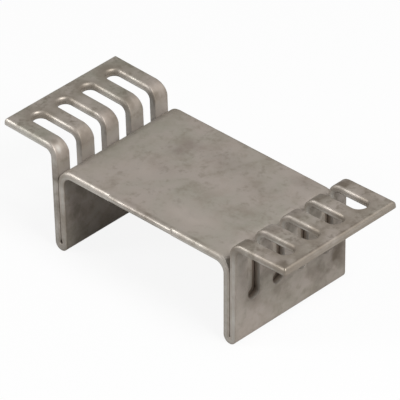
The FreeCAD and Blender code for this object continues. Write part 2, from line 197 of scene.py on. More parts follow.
class Strip:
    """Where each bend, slot and end lies along the flat strip, from the plate's middle to a tip."""

    def __init__(self, sizes):
        thick = sizes.thickness
        lean, rise = sizes.leg_lean, sizes.wing_rise
        up_leg = Vector((math.sin(lean), math.cos(lean)))
        off_leg = Vector((math.cos(lean), -math.sin(lean)))
        off_wing = Vector((-math.sin(rise), math.cos(rise)))
        self.throat = sizes.ply_gap / 2

        hem_outside = thick + self.throat
        hem = Vector((sizes.foot_span / 2, hem_outside))
        plate_centre = hem - off_leg * (hem_outside + sizes.plate_bend)
        plate_centre_level = sizes.plate_height - thick - sizes.plate_bend
        down_inner = (plate_centre_level - plate_centre.y) / up_leg.y
        plate_centre += up_leg * down_inner

        tip_under = Vector((sizes.overall_width / 2, sizes.overall_height - thick * off_wing.y))
        wing_centre = hem + off_leg * (hem_outside + sizes.wing_bend)
        up_outer = ((tip_under - wing_centre).dot(off_wing) - sizes.wing_bend) / up_leg.dot(off_wing)
        wing_centre += up_leg * up_outer
        wing_start = wing_centre + off_wing * sizes.wing_bend

        # A bend's radius is that of the sheet's middle: it is negative where the strip turns down.
        self.plate_radius = -(sizes.plate_bend + thick / 2)
        self.hem_radius = hem_outside - thick / 2
        self.wing_radius = -(sizes.wing_bend + thick / 2)
        self.plate_angle = math.pi / 2 + lean
        self.hem_angle = math.pi
        self.wing_angle = math.pi / 2 - lean - rise

        self.plate_end = plate_centre.x
        self.inner_start = self.plate_end - self.plate_radius * self.plate_angle
        self.inner_end = self.inner_start + down_inner
        self.outer_start = self.inner_end + self.hem_radius * self.hem_angle
        self.outer_end = self.outer_start + up_outer
        self.wing_start = self.outer_end - self.wing_radius * self.wing_angle
        self.tip = self.wing_start + (tip_under - wing_start).length

        leg_face_level = (hem + off_leg * hem_outside).y
        self.slot_start = self.outer_start + (sizes.slot_foot - leg_face_level) / up_leg.y
        self.slot_end = self.tip - sizes.slot_margin
        self.cell_margin = (sizes.slot_pitch - sizes.slot_width) / 2
        self.cell_start = self.slot_start - self.cell_margin
        self.cell_end = self.slot_end + self.cell_margin
        self.slot_half_width = sizes.slot_width / 2
        self.first_round = self.slot_start + self.slot_half_width
        self.last_round = self.slot_end - self.slot_half_width
        self.half_depth = sizes.stub_depth / 2 - sizes.tab_stub

    def from_slot(self, along, across):
        """Distance from a slot's edge: on the inner ply, from where the slot lies over it."""
        if self.inner_start - SEAM_TOP < along < self.inner_end:
            along = self.outer_start + self.inner_end - along
        beyond = max(self.first_round - along, along - self.last_round, 0.0)
        return math.hypot(across, beyond) - self.slot_half_width


def eye_relief(place, strip, sizes):
    """How far the hem's open eye eats into the inner skin at a place along the strip."""
    eye = sizes.eye_radius
    eye_rise = eye - strip.throat
    beyond = max(strip.inner_end - place, place - strip.outer_start)
    if beyond < 0:
        turn = min(place - strip.inner_end, strip.outer_start - place) / strip.hem_radius
        down = math.sin(turn) * eye_rise
        return max(0.0, math.sqrt(down * down + eye * eye - eye_rise * eye_rise) - down - strip.throat)
    centres = sizes.eye_flare + eye
    flare_rise = eye_rise + math.sqrt(centres ** 2 - (sizes.eye_flare + strip.throat) ** 2)
    meeting = eye_rise + (flare_rise - eye_rise) * eye / centres
    if beyond >= flare_rise:
        return 0.0
    if beyond > meeting:
        return sizes.eye_flare - math.sqrt(sizes.eye_flare ** 2 - (flare_rise - beyond) ** 2)
    return math.sqrt(eye * eye - (beyond - eye_rise) ** 2) - strip.throat


def stations(start, stops):
    """Places along the strip, with the stretch up to each stop cut into even steps."""
    places = [start]
    for stop, step in stops:
        first = places[-1]
        count = max(1, round((stop - first) / step))
        places += [first + (stop - first) * k / count for k in range(1, count + 1)]
    return places


# Steps round a cut edge and round the blank's corner. Beyond the rounding, a line of faces this wide
# keeps the skin flat.
ROUND_STEPS = 6
CORNER_STEPS = 10
HOLD = 0.025 * MM


def roll_over(width, depth, reach):
    """Distances from a cut edge, each with the skin's drop there: an ellipse and the flat beyond it."""
    quarter = [math.pi / 2 * k / ROUND_STEPS for k in range(ROUND_STEPS + 1)]
    rows = [(width * (1 - math.cos(turn)), depth * (1 - math.sin(turn))) for turn in quarter]
    return rows + [(width + HOLD, 0.0), (reach, 0.0)]


def eased(value, low, high):
    """0 below low, 1 above high, with a smooth turn at both ends."""
    share = min(1.0, max(0.0, (value - low) / (high - low)))
    return share * share * (3 - 2 * share)


class Skin:
    """One face of the flat blank, as welded quads. Each point has its drop at the cut edges and how far the
    stub moves it out and down."""

    def __init__(self):
        self.points = []
        self.drops = []
        self.moves = []
        self.quads = []
        self.cut = set()
        self.found = {}

    def point(self, along, across, drop=0.0, on_cut=False, moved=(0.0, 0.0)):
        # Points less than about a ten-thousandth of a millimetre apart are one.
        key = (round(along / MM, 4), round(across / MM, 4))
        if key not in self.found:
            self.found[key] = len(self.points)
            self.points.append((along, across))
            self.drops.append(drop)
            self.moves.append(moved)
        index = self.found[key]
        if on_cut:
            self.cut.add(index)
        return index

    def patch(self, rows):
        """Quads between rows of points, each row as long as the next, wound the same way all over."""
        for low, high in zip(rows, rows[1:]):
            for corners in zip(low, low[1:], high[1:], high):
                corners = list(dict.fromkeys(corners))
                if len(corners) < 3:
                    continue
                places = [Vector(self.points[k]) for k in corners]
                twice_area = sum(a.cross(b) for a, b in zip(places, places[1:] + places[:1]))
                self.quads.append(corners if twice_area > 0 else corners[::-1])


# How long the faces are along the strip: on the flats, in the bends, and by an edge or across the strip.
PLATE_STEP = 0.8 * MM
LEG_STEP = 0.6 * MM
FINGER_STEP = 0.5 * MM
PLATE_BEND_STEP = 0.10 * MM
WING_BEND_STEP = 0.09 * MM
FLARE_STEP = 0.06 * MM
HEM_STEP = 0.055 * MM
EDGE_STEP = 0.15 * MM
# The hem's eye flares out over this much of each ply, the stub rises over this much of the edge, and
# the faces before that rise are finer over this much.
EYE_REACH = 0.7 * MM
STUB_RISE = 0.04 * MM
STUB_SIDE = 0.10 * MM
# Where the two rows between a slot's rim and the end of its share lie, as shares of the way.
BETWEEN_RIM_AND_END = (0.3, 0.65)


class Blank:
    """The flat blank's two skins: first the part that repeats with each slot, then the outer border."""

    def __init__(self, strip, sizes):
        self.strip = strip
        self.sizes = sizes
        tab_end = sizes.tab_width / 2
        self.lower_rows = stations(0.0, (
            (tab_end - STUB_SIDE, PLATE_STEP), (tab_end, STUB_SIDE / 2),
            (tab_end + STUB_RISE, STUB_RISE / 4), (tab_end + 3 * STUB_RISE, STUB_RISE),
            (strip.plate_end, PLATE_STEP), (strip.inner_start, PLATE_BEND_STEP),
            (strip.inner_end - EYE_REACH, LEG_STEP), (strip.inner_end, FLARE_STEP),
            (strip.outer_start, HEM_STEP), (strip.outer_start + EYE_REACH, FLARE_STEP),
            (strip.cell_start, LEG_STEP)))
        self.cell_rows = stations(strip.cell_start, (
            (strip.first_round, EDGE_STEP), (strip.outer_end, FINGER_STEP),
            (strip.wing_start, WING_BEND_STEP), (strip.last_round, FINGER_STEP),
            (strip.cell_end, EDGE_STEP)))
        self.tip_rows = stations(strip.cell_end, ((strip.tip - sizes.band_width, EDGE_STEP),))
        half_pitch = sizes.slot_pitch / 2
        self.cell_columns = stations(-half_pitch, ((half_pitch, EDGE_STEP),))
        self.border_start = sizes.slot_count * half_pitch
        self.border_end = strip.half_depth - sizes.band_width

    def edge(self, upper, stub=0.0, pressed=0.0):
        """Roll-over of the upper or lower edge: stub is 1 on the square stub, pressed is 1 on the plies."""
        sizes = self.sizes
        width = sizes.roll_width if upper else sizes.burr_round
        depth = sizes.roll_depth if upper else sizes.burr_round
        for share, rounding in ((pressed if upper else 0.0, sizes.pressed_round), (stub, sizes.stub_round)):
            width += (rounding - width) * share
            depth += (rounding - depth) * share
        return roll_over(width, depth, sizes.band_width)

    def stub_share(self, along):
        """1 on the stub of the carrier strip, 0 beyond it."""
        tab_end = self.sizes.tab_width / 2
        return 1.0 - eased(along, tab_end, tab_end + STUB_RISE)

    def pressed_share(self, along):
        """1 on the two plies that the press closes on each other, 0 on the plate and the wing."""
        strip = self.strip
        into_press = eased(along, strip.plate_end, strip.inner_start)
        return into_press - eased(along, strip.outer_end, strip.wing_start)

    def tip_band(self, skin, columns, upper):
        """The tip's rounded edge, from the cut inwards."""
        rows = []
        for inset, drop in self.edge(upper):
            rows.append([skin.point(self.strip.tip - inset, y, drop, inset == 0) for y in columns])
        skin.patch(rows)

    def column(self, upper):
        """One slot's share of the strip, from the plate's middle to the tip, about its own middle line."""
        skin = Skin()
        sizes, strip = self.sizes, self.strip
        columns = self.cell_columns
        for rows in (self.lower_rows, self.tip_rows):
            skin.patch([[skin.point(x, y) for y in columns] for x in rows])

        half_pitch = sizes.slot_pitch / 2
        rim = [(x, half_pitch) for x in self.cell_rows]
        rim += [(strip.cell_end, y) for y in columns[-2::-1]]
        rim += [(x, -half_pitch) for x in self.cell_rows[-2::-1]]
        rim += [(strip.cell_start, y) for y in columns[1:]]
        spokes = []
        for x, y in rim:
            middle = Vector((min(max(x, strip.first_round), strip.last_round), 0.0))
            out = (Vector((x, y)) - middle).normalized()
            spoke = []
            for inset, drop in self.edge(upper, pressed=self.pressed_share(middle.x))[:-1]:
                place = middle + out * (strip.slot_half_width + inset)
                spoke.append(skin.point(place.x, place.y, drop, inset == 0))
            held = Vector(skin.points[spoke[-1]])
            for share in BETWEEN_RIM_AND_END:
                place = held.lerp(Vector((x, y)), share)
                spoke.append(skin.point(place.x, place.y))
            spoke.append(skin.point(x, y))
            spokes.append(spoke)
        skin.patch(spokes)
        self.tip_band(skin, columns, upper)
        return skin

    def border(self, upper):
        """The strip's outer edge, beyond the last slot's share, with its stub and its corner."""
        skin = Skin()
        sizes, strip = self.sizes, self.strip
        rows = self.lower_rows + self.cell_rows[1:] + self.tip_rows[1:]
        columns = stations(self.border_start, ((self.border_end, EDGE_STEP),))
        skin.patch([[skin.point(x, y) for y in columns] for x in rows])
        bands = []
        for x in rows:
            stub = self.stub_share(x)
            straight = self.edge(upper, 0.0, self.pressed_share(x))[:-1]
            band = []
            for (inset, drop), (plain, low) in zip(self.edge(upper, stub, self.pressed_share(x)), straight):
                out = sizes.tab_stub * stub - inset
                # How far the stub moves this point, against the straight edge.
                moved = (out + plain, drop - low)
                band.append(skin.point(x, strip.half_depth + out, drop, inset == 0, moved))
            band.append(skin.point(x, self.border_end))
            bands.append(band)
        skin.patch(bands)
        self.tip_band(skin, columns, upper)

        centre = strip.tip - sizes.band_width
        power = sizes.corner_power
        fan = []
        for step in range(CORNER_STEPS + 1):
            turn = math.pi / 2 * step / CORNER_STEPS
            reach = (math.sin(turn) ** power + math.cos(turn) ** power) ** (-1 / power)
            spoke = []
            for inset, drop in self.edge(upper):
                out = reach * (sizes.band_width - inset)
                along = centre + out * math.sin(turn)
                spoke.append(skin.point(along, self.border_end + out * math.cos(turn), drop, inset == 0))
            fan.append(spoke)
        skin.patch(fan)
        return skin


# Down the cut: a smooth burnished band, then torn metal down to the lower edge. Each place has its
# share of the way down and of burnished and torn metal.
CUT_LEVELS = ((0.0, 1.0, 0.0), (0.25, 1.0, 0.0), (0.40, 0.0, 1.0), (0.70, 0.0, 1.0), (1.0, 0.2, 0.5))


def close_skins(mesh, upper, lower, strip, sizes, border, layers):
    """Puts both skins at their levels and joins them with the wall of the cut."""
    slot_middle = (sizes.slot_count - 1) * sizes.slot_pitch / 2 * border
    stub_layer = mesh.verts.layers.float_vector["stub"]
    levels = []
    for skin, side in ((upper, 1), (lower, -1)):
        level = []
        for (along, across), drop, (out, down) in zip(skin.points, skin.drops, skin.moves):
            vertex = mesh.verts.new((along, across, side * (sizes.thickness / 2 - drop)))
            vertex[stub_layer] = (0.0, out, -side * down)
            if side > 0:
                vertex[layers["eye"]] = eye_relief(along, strip, sizes)
            level.append(vertex)
        levels.append(level)
    top, bottom = levels
    new_faces = []
    edges = {}
    for quad in upper.quads:
        new_faces.append(mesh.faces.new([top[k] for k in quad]))
        for a, b in zip(quad, quad[1:] + quad[:1]):
            edges[(a, b)] = edges.get((a, b), 0) + 1
    for quad in lower.quads:
        new_faces.append(mesh.faces.new([bottom[k] for k in reversed(quad)]))

    walls = {}

    def wall(index):
        if index not in walls:
            high, low = top[index], bottom[index]
            between = []
            for down, _, _ in CUT_LEVELS[1:-1]:
                between.append(mesh.verts.new(high.co.lerp(low.co, down)))
                between[-1][layers["eye"]] = high[layers["eye"]] * (1 - down)
                between[-1][stub_layer] = high[stub_layer].lerp(low[stub_layer], down)
            walls[index] = [high, *between, low]
        return walls[index]

    for a, b in edges:
        if (b, a) in edges or a not in upper.cut or b not in upper.cut:
            continue
        for high_a, low_a, high_b, low_b in zip(wall(a), wall(a)[1:], wall(b), wall(b)[1:]):
            new_faces.append(mesh.faces.new((high_a, low_a, low_b, high_b)))
    for face in new_faces:
        for vertex in face.verts:
            vertex[layers["border"]] = border
            vertex[layers["from_slot"]] = strip.from_slot(vertex.co.x, vertex.co.y - slot_middle)
    for skin, level in ((upper, top), (lower, bottom)):
        for vertex, drop in zip(level, skin.drops):
            vertex[layers["worn"]] = min(1.0, drop / sizes.burr_round)
    for column in walls.values():
        for vertex, (_, worn, torn) in zip(column, CUT_LEVELS):
            vertex[layers["worn"]] = worn
            vertex[layers["torn"]] = torn


def make_blank(strip, sizes):
    """The flat blank of one slot's share and of the outer border, as one mesh."""
    blank = Blank(strip, sizes)
    mesh = bmesh.new()
    names = ("border", "worn", "torn", "eye", "from_slot")
    layers = {name: mesh.verts.layers.float.new(name) for name in names}
    mesh.verts.layers.float_vector.new("stub")
    for make, border in ((blank.column, 0.0), (blank.border, 1.0)):
        close_skins(mesh, make(True), make(False), strip, sizes, border, layers)
    data = bpy.data.meshes.new("blank")
    mesh.to_mesh(data)
    mesh.free()
    return data


def make_bend_group():
    """Node group that curls what lies past a place on the strip about one bend."""
    tree = bpy.data.node_groups.new("Bend", "GeometryNodeTree")
    add = partial(add_node, tree)
    for side in ("INPUT", "OUTPUT"):
        tree.interface.new_socket(name="Position", in_out=side, socket_type="NodeSocketVector")
    for name in ("Along", "Start", "Radius", "Angle"):
        tree.interface.new_socket(name=name, in_out="INPUT", socket_type="NodeSocketFloat")
    given = add("NodeGroupInput").outputs

    past = add("ShaderNodeMath", {0: given["Along"], 1: given["Start"]}, operation="SUBTRACT")
    size = add("ShaderNodeMath", {0: given["Radius"]}, operation="ABSOLUTE")
    arc = add("ShaderNodeMath", {0: size, 1: given["Angle"]}, operation="MULTIPLY")
    begun = add("ShaderNodeMath", {0: past, 1: 0.0}, operation="MAXIMUM")
    taken = add("ShaderNodeMath", {0: begun, 1: arc}, operation="MINIMUM")
    back = add("ShaderNodeCombineXYZ", {"X": taken})
    moved = add("ShaderNodeVectorMath", {0: given["Position"], 1: back}, operation="SUBTRACT")
    centre = add("ShaderNodeCombineXYZ", {"X": given["Start"], "Z": given["Radius"]})
    turn = add("ShaderNodeMath", {0: taken, 1: given["Radius"]}, operation="DIVIDE")
    other_way = add("ShaderNodeMath", {0: turn, 1: -1.0}, operation="MULTIPLY")
    turned = add("ShaderNodeVectorRotate",
                 {"Vector": moved, "Center": centre, "Angle": other_way}, rotation_type="Y_AXIS")
    add("NodeGroupOutput", {"Position": turned})
    return tree


SOCKET_KINDS = {int: "NodeSocketInt", float: "NodeSocketFloat", bpy.types.Material: "NodeSocketMaterial"}
# Points closer than this are one point.
WELD = 0.0005 * MM
# The stub's shift along the strip fades out between these two places on the plate.
SHIFTED = 3.6 * MM
UNSHIFTED = 6.5 * MM
# Worn edges wander over about this length, by a noise that starts here.
WANDER = 0.9 * MM
SEED = 7.0


def add_full_blank(add, given):
    """Nodes that repeat the slot's share across the strip and mirror the half strip to a whole one."""
    border = add("GeometryNodeInputNamedAttribute", {"Name": "border"})
    parts = add("GeometryNodeSeparateGeometry",
                {"Geometry": given["Geometry"], "Selection": border}, domain="POINT")
    spaces = add("ShaderNodeMath", {0: given["Slots"], 1: 1.0}, operation="SUBTRACT")
    spread = add("ShaderNodeMath", {0: spaces, 1: given["Pitch"]}, operation="MULTIPLY")
    start = add("ShaderNodeMath", {0: spread, 1: -0.5}, operation="MULTIPLY")
    first = add("ShaderNodeCombineXYZ", {"Y": start})
    step = add("ShaderNodeCombineXYZ", {"Y": given["Pitch"]})
    places = add("GeometryNodeMeshLine",
                 {"Count": given["Slots"], "Start Location": first, "Offset": step}, mode="OFFSET")
    columns = add("GeometryNodeInstanceOnPoints", {"Points": places, "Instance": parts.outputs["Inverted"]})
    columns = add("GeometryNodeRealizeInstances", {"Geometry": columns})
    across = add("GeometryNodeTransform",
                 {"Geometry": parts.outputs["Selection"], "Scale": (1.0, -1.0, 1.0)})
    across = add("GeometryNodeFlipFaces", {"Mesh": across})
    half = add("GeometryNodeJoinGeometry", {"Geometry": [columns, parts.outputs["Selection"], across]})
    other = add("GeometryNodeTransform", {"Geometry": half, "Scale": (-1.0, 1.0, 1.0)})
    other = add("GeometryNodeFlipFaces", {"Mesh": other})
    whole = add("GeometryNodeJoinGeometry", {"Geometry": [half, other]})
    return add("GeometryNodeMergeByDistance", {"Geometry": whole, "Distance": WELD})


def add_folding(add, given, blank):
    """Nodes that fold the whole blank: the outermost bend first, each at its place along the strip."""
    position = add("GeometryNodeInputPosition")
    kept = add("GeometryNodeStoreNamedAttribute",
               {"Geometry": blank, "Name": "on_blank", "Value": position},
               data_type="FLOAT_VECTOR", domain="POINT")
    on_blank = add("GeometryNodeInputNamedAttribute", {"Name": "on_blank"}, data_type="FLOAT_VECTOR")
    flat = add("ShaderNodeSeparateXYZ", {0: on_blank}).outputs
    along = add("ShaderNodeMath", {0: flat["X"]}, operation="ABSOLUTE")
    on_left = add("ShaderNodeMath", {0: flat["X"], 1: 0.0}, operation="LESS_THAN")
    open_by = add("ShaderNodeMix", {0: on_left, 2: given["Right eye"], 3: given["Left eye"]})
    eye = add("GeometryNodeInputNamedAttribute", {"Name": "eye"})
    eaten = add("ShaderNodeMath", {0: eye, 1: open_by}, operation="MULTIPLY")
    level = add("ShaderNodeMath", {0: flat["Z"], 1: eaten}, operation="SUBTRACT")
    place = add("ShaderNodeCombineXYZ", {"X": along, "Y": flat["Y"], "Z": level})

    on_near = add("ShaderNodeMath", {0: flat["Y"], 1: 0.0}, operation="LESS_THAN")
    stands = add("ShaderNodeMix", {0: on_near, 2: given["Far stub"], 3: given["Near stub"]})
    taken_off = add("ShaderNodeMath", {0: 1.0, 1: stands}, operation="SUBTRACT")
    outwards = add("ShaderNodeMath", {0: flat["Y"]}, operation="SIGN")
    outwards = add("ShaderNodeCombineXYZ", {"Y": outwards, "Z": 1.0})
    stub = add("GeometryNodeInputNamedAttribute", {"Name": "stub"}, data_type="FLOAT_VECTOR")
    stub = add("ShaderNodeVectorMath", {0: stub, 1: outwards}, operation="MULTIPLY")
    stub = add("ShaderNodeVectorMath", {0: stub, "Scale": taken_off}, operation="SCALE")
    place = add("ShaderNodeVectorMath", {0: place, 1: stub}, operation="SUBTRACT")
    bend = make_bend_group()
    for name in ("Wing bend", "Hem", "Plate bend"):
        place = add("GeometryNodeGroup",
                    {"Position": place, "Along": along, "Start": given[name + " start"],
                     "Radius": given[name + " radius"], "Angle": given[name + " angle"]}, node_tree=bend)
    folded = add("ShaderNodeSeparateXYZ", {0: place}).outputs
    side = add("ShaderNodeMath", {0: flat["X"]}, operation="SIGN")
    x = add("ShaderNodeMath", {0: folded["X"], 1: side}, operation="MULTIPLY")
    shifted = add("ShaderNodeMapRange", {"Value": along, "From Min": UNSHIFTED, "From Max": SHIFTED},
                  interpolation_type="SMOOTHSTEP")
    x = add("ShaderNodeMath", {0: shifted, 1: given["Stub shift"], 2: x}, operation="MULTIPLY_ADD")
    z = add("ShaderNodeMath", {0: folded["Z"], 1: given["Plate height"]}, operation="ADD")
    place = add("ShaderNodeCombineXYZ", {"X": x, "Y": folded["Y"], "Z": z})
    return add("GeometryNodeSetPosition", {"Geometry": kept, "Position": place}), on_blank


def add_wear(add, given, folded, on_blank):
    """Nodes that let the worn edges wander inwards, by noise that runs along the flat blank."""
    worn = add("GeometryNodeInputNamedAttribute", {"Name": "worn"})
    drift = add("ShaderNodeVectorMath", {0: on_blank, 1: given["Seed"]}, operation="ADD")
    wander = add("ShaderNodeTexNoise", {"Vector": drift, "Scale": 1 / WANDER})
    inward = add("ShaderNodeMath", {0: wander, 1: worn}, operation="MULTIPLY")
    inward = add("ShaderNodeMath", {0: inward, 1: given["Unevenness"]}, operation="MULTIPLY")
    normal = add("GeometryNodeInputNormal")
    offset = add("ShaderNodeVectorMath", {0: normal, "Scale": inward}, operation="SCALE")
    offset = add("ShaderNodeVectorMath", {0: offset, "Scale": -1.0}, operation="SCALE")
    return add("GeometryNodeSetPosition", {"Geometry": folded, "Offset": offset})


def make_fold_tree(values):
    """The node tree from one slot's share of a flat blank to the folded sheet. Each value is an input."""
    tree = bpy.data.node_groups.new("Fold heat sink", "GeometryNodeTree")
    add = partial(add_node, tree)
    for side in ("INPUT", "OUTPUT"):
        tree.interface.new_socket(name="Geometry", in_out=side, socket_type="NodeSocketGeometry")
    for name, value in values.items():
        tree.interface.new_socket(name=name, in_out="INPUT", socket_type=SOCKET_KINDS[type(value)])
    given = add("NodeGroupInput").outputs
    blank = add_full_blank(add, given)
    folded, on_blank = add_folding(add, given, blank)
    worn = add_wear(add, given, folded, on_blank)
    smooth = add("GeometryNodeSetShadeSmooth", {"Geometry": worn})
    real = add("GeometryNodeRealizeInstances", {"Geometry": smooth})
    finished = add("GeometryNodeSetMaterial", {"Geometry": real, "Material": given["Material"]})
    add("NodeGroupOutput", {"Geometry": finished})
    return tree


def fold(blank, values):
    """Runs the fold tree on the blank and returns the plain mesh that it makes."""
    tree = make_fold_tree(values)
    modifier = blank.modifiers.new("Fold", "NODES")
    modifier.node_group = tree
    for item in tree.interface.items_tree:
        if item.in_out == "INPUT" and item.name in values:
            modifier[item.identifier] = values[item.name]
    bpy.context.view_layer.update()
    depsgraph = bpy.context.evaluated_depsgraph_get()
    mesh = bpy.data.meshes.new_from_object(
        blank.evaluated_get(depsgraph), preserve_all_data_layers=True, depsgraph=depsgraph)
    blank.modifiers.remove(modifier)
    return mesh


# Marks that this sheet carries, and painted light and shade: place and reach on the flat blank in
# millimetres (along the strip, across it), how strongly they show, and their colour.
MARKS_AND_PAINTED_LIGHT = (
    (-7.6, 0.0, 2.2, 8.0, 0.60, "cool"),
    (-4.0, 1.9, 1.5, 1.0, 0.70, "tarnish"),
    (-3.4, 3.2, 1.5, 1.0, 0.60, "tarnish"),
    (-2.8, -0.8, 2.0, 1.4, 0.25, "tarnish"),
    (2.4, 0.4, 2.2, 1.8, 0.35, "bright"),
    (-3.8, -2.0, 2.4, 1.6, 0.60, "bright"),
    (0.4, 3.4, 3.4, 1.6, 0.40, "tarnish"),
    (4.6, 2.6, 2.2, 1.6, 0.45, "smudge_and_shade"),
    (6.4, -1.0, 1.6, 2.4, 0.30, "smudge_and_shade"),
    (6.6, 5.3, 1.6, 0.9, 0.50, "grime_and_shade"),
    (-1.3, -5.9, 1.0, 0.3, 0.40, "grime_and_shade"),
    (1.8, -6.12, 2.4, 0.26, 0.60, "grime_and_shade"),
    (5.2, -6.05, 1.6, 0.24, 0.50, "grime_and_shade"),
    (0.0, -6.5, 3.6, 0.13, 0.60, "grime_and_shade"),
    (3.2, -4.0, 4.6, 2.2, 0.80, "bright"),
    (-6.2, -4.4, 2.0, 1.4, 0.30, "bright"),
    # Right leg: painted shade over its far half, with a brown stain low at the far corner, and painted
    # light on its lower front.
    (19.4, 4.8, 4.0, 3.0, 0.95, "grime_and_shade"),
    (17.6, -4.2, 2.0, 3.2, 0.50, "bright"),
    (21.2, -6.0, 3.0, 1.2, 0.60, "bright"),
    # Left fingers: painted shade on the crests, dimming the lamp's sheen there, painted light on the faces
    # below, a faint painted sheen low on the bends, and painted shade at the fingers' feet.
    (-25.5, 0.0, 0.9, 16.0, 0.55, "grime_and_shade"),
    (-25.6, 4.2, 0.8, 3.6, 0.35, "grime_and_shade"),
    (-23.5, 0.0, 1.0, 16.0, 1.00, "bright"),
    (-24.0, 1.6, 1.2, 6.5, 0.25, "worn"),
    (-22.8, 0.0, 0.35, 16.0, 0.50, "grime_and_shade"),
    # Painted shade on the right bends' crests, dimming the lamp's sheen there, partly dirt.
    (26.0, 0.0, 1.3, 16.0, 0.75, "grime_and_shade"),
    # Painted shade on the plate's right bend, in the groove below the outer ply's bend.
    (9.6, 0.6, 0.8, 6.0, 0.70, "smudge_and_shade"),
    # Painted light in the cusp at the front of the right seam.
    (9.1, -6.05, 0.8, 0.30, 1.00, "worn"),
    (-29.7, -4.2, 1.0, 1.0, 0.60, "grime_and_shade"),
    (-29.7, -1.4, 1.0, 1.0, 0.60, "grime_and_shade"),
    (-29.7, 1.4, 1.0, 1.0, 0.70, "grime_and_shade"),
    (-29.7, 4.2, 1.0, 1.0, 0.70, "grime_and_shade"),
    # Darker patches where the right wing's bend starts, by the slots' inner ends: partly brown dirt, partly
    # painted shade.
    (25.0, -5.7, 0.8, 0.7, 0.40, "grime_and_shade"),
    (24.9, -3.2, 0.7, 0.6, 0.40, "grime_and_shade"),
    (25.0, -0.4, 0.7, 0.6, 0.40, "grime_and_shade"),
    (25.2, 2.4, 0.7, 0.6, 0.40, "grime_and_shade"),
    (25.9, 5.3, 1.0, 0.9, 0.25, "grime_and_shade"),
    (24.3, 5.7, 0.5, 0.5, 1.00, "bright"),
    (30.1, -5.6, 0.7, 0.6, 0.60, "grime_and_shade"),
    (30.6, -4.2, 0.5, 0.9, 0.50, "grime_and_shade"),
    (29.4, -3.0, 0.6, 0.6, 0.40, "grime_and_shade"),
    # Darker along the right wing's front edge and its wall, which dims the key lamp's highlight there.
    (28.0, -6.5, 6.5, 0.50, 1.00, "smudge_and_shade"),
    (29.0, -6.5, 6.5, 0.50, 0.50, "grime_and_shade"),
    # Right tip: darker on top beside the edge, a painted highlight along the rounding, darker on the face
    # by the near corner, and painted shade over the lamp's glint at that corner.
    (30.82, 0.0, 0.22, 12.0, 0.80, "grime_and_shade"),
    (31.12, 1.0, 0.24, 8.0, 1.00, "worn"),
    (31.10, -5.6, 0.35, 1.0, 0.80, "grime_and_shade"),
    (31.1, -6.4, 0.5, 0.35, 0.90, "grime_and_shade"),
    (31.0, 6.3, 0.9, 0.7, 0.80, "grime_and_shade"),
    # Darker along the left tip's edge.
    (-31.1, 0.0, 0.4, 12.0, 0.80, "smudge_and_shade"),
    # Painted highlight along the left wing's front edge.
    (-28.6, -6.45, 3.0, 0.25, 0.60, "worn"),
    # Darker along the whole far edge, a dark rim on its rounding.
    (0.0, 6.45, 60.0, 0.50, 0.80, "smudge_and_shade"),
    # Painted shade on the front cut faces either side of the plate, which face the key lamp, most on the
    # left.
    (-20.4, -6.5, 6.5, 0.45, 1.00, "grime_and_shade"),
    (-12.4, -6.5, 6.5, 0.45, 1.00, "smudge_and_shade"),
    (12.4, -6.5, 6.5, 0.40, 0.60, "smudge_and_shade"),
    (20.4, -6.5, 6.5, 0.40, 0.40, "smudge_and_shade"),
    (-25.9, -5.75, 0.30, 0.35, 0.90, "grime_and_shade"),
    (-25.4, -5.85, 0.35, 0.30, 0.90, "worn"),
)
# Where the dirt and the painted light and shade sit. Each zone has its measure, the place along the strip
# that it starts from, and how many millimetres from there it is 0 and 1.
ZONES = (
    ("wings", "along", "wing_start", -0.5, 0.4),
    ("left", "x", "", 0.0, -1.0),
    ("right", "x", "", 0.0, 1.0),
    ("legs", "along", "outer_end", -0.8, -1.3),
    ("by_slots", "from_slot", "", 1.2, 0.1),
    ("bends", "along", "wing_start", 1.3, 0.5),
    ("fingers", "along", "outer_end", 0.6, 1.2),
    ("slot_feet", "along", "outer_start", 4.2, 3.4),
    ("slot_edges", "off_edge", "", 0.28, 0.18),
    ("slot_ends", "along", "slot_end", -1.8, -0.8),
    ("inner_levels", "level", "", -0.32, 0.25),
    ("tips", "along", "tip", -0.25, -0.10),
    ("low_levels", "level", "", 0.08, -0.10),
    ("off_underside", "level", "", -0.31, -0.10),
    ("underside", "level", "", -0.24, -0.30),
)
# A slot's rim counts as worn from the first of these shares on, and in full from the second.
RIM_START = 0.3
RIM_FULL = 0.9
# The coat lies under the marks, and the dirt and the painted light and shade lie over them. Each layer
# has its zones, its noise, the noise where it is clear and where it is full, its share there, and its
# colour.
COAT = (
    ((), "clouds", 0.48, 0.66, 0.0, 0.6, "cool"),
    ((), "clouds", 0.52, 0.36, 0.0, 0.6, "warm"),
    ((), "smears", 0.50, 0.34, 0.0, 0.6, "bright"),
    ((), "smears", 0.50, 0.66, 0.0, 0.5, "smudge_and_shade"),
    ((), "specks", 0.53, 0.68, 0.0, 0.5, "smudge_and_shade"),
    (("wings", "left"), "smears", 0.38, 0.62, 0.10, 0.60, "film"),
    (("wings", "right"), "smears", 0.38, 0.62, 0.10, 0.60, "smudge_and_shade"),
    (("wings", "right"), "smears", 0.54, 0.66, 0.0, 0.5, "grime_and_shade"),
    (("wings",), "specks", 0.52, 0.70, 0.0, 0.4, "grime_and_shade"),
    (("underside",), "clouds", 0.35, 0.65, 0.1, 0.3, "smudge_and_shade"),
    # Darker brown round the slots on the underside: partly dirt, partly painted shade under the wings.
    (("by_slots", "underside"), "smears", 0.40, 0.62, 0.05, 0.35, "grime_and_shade"),
)
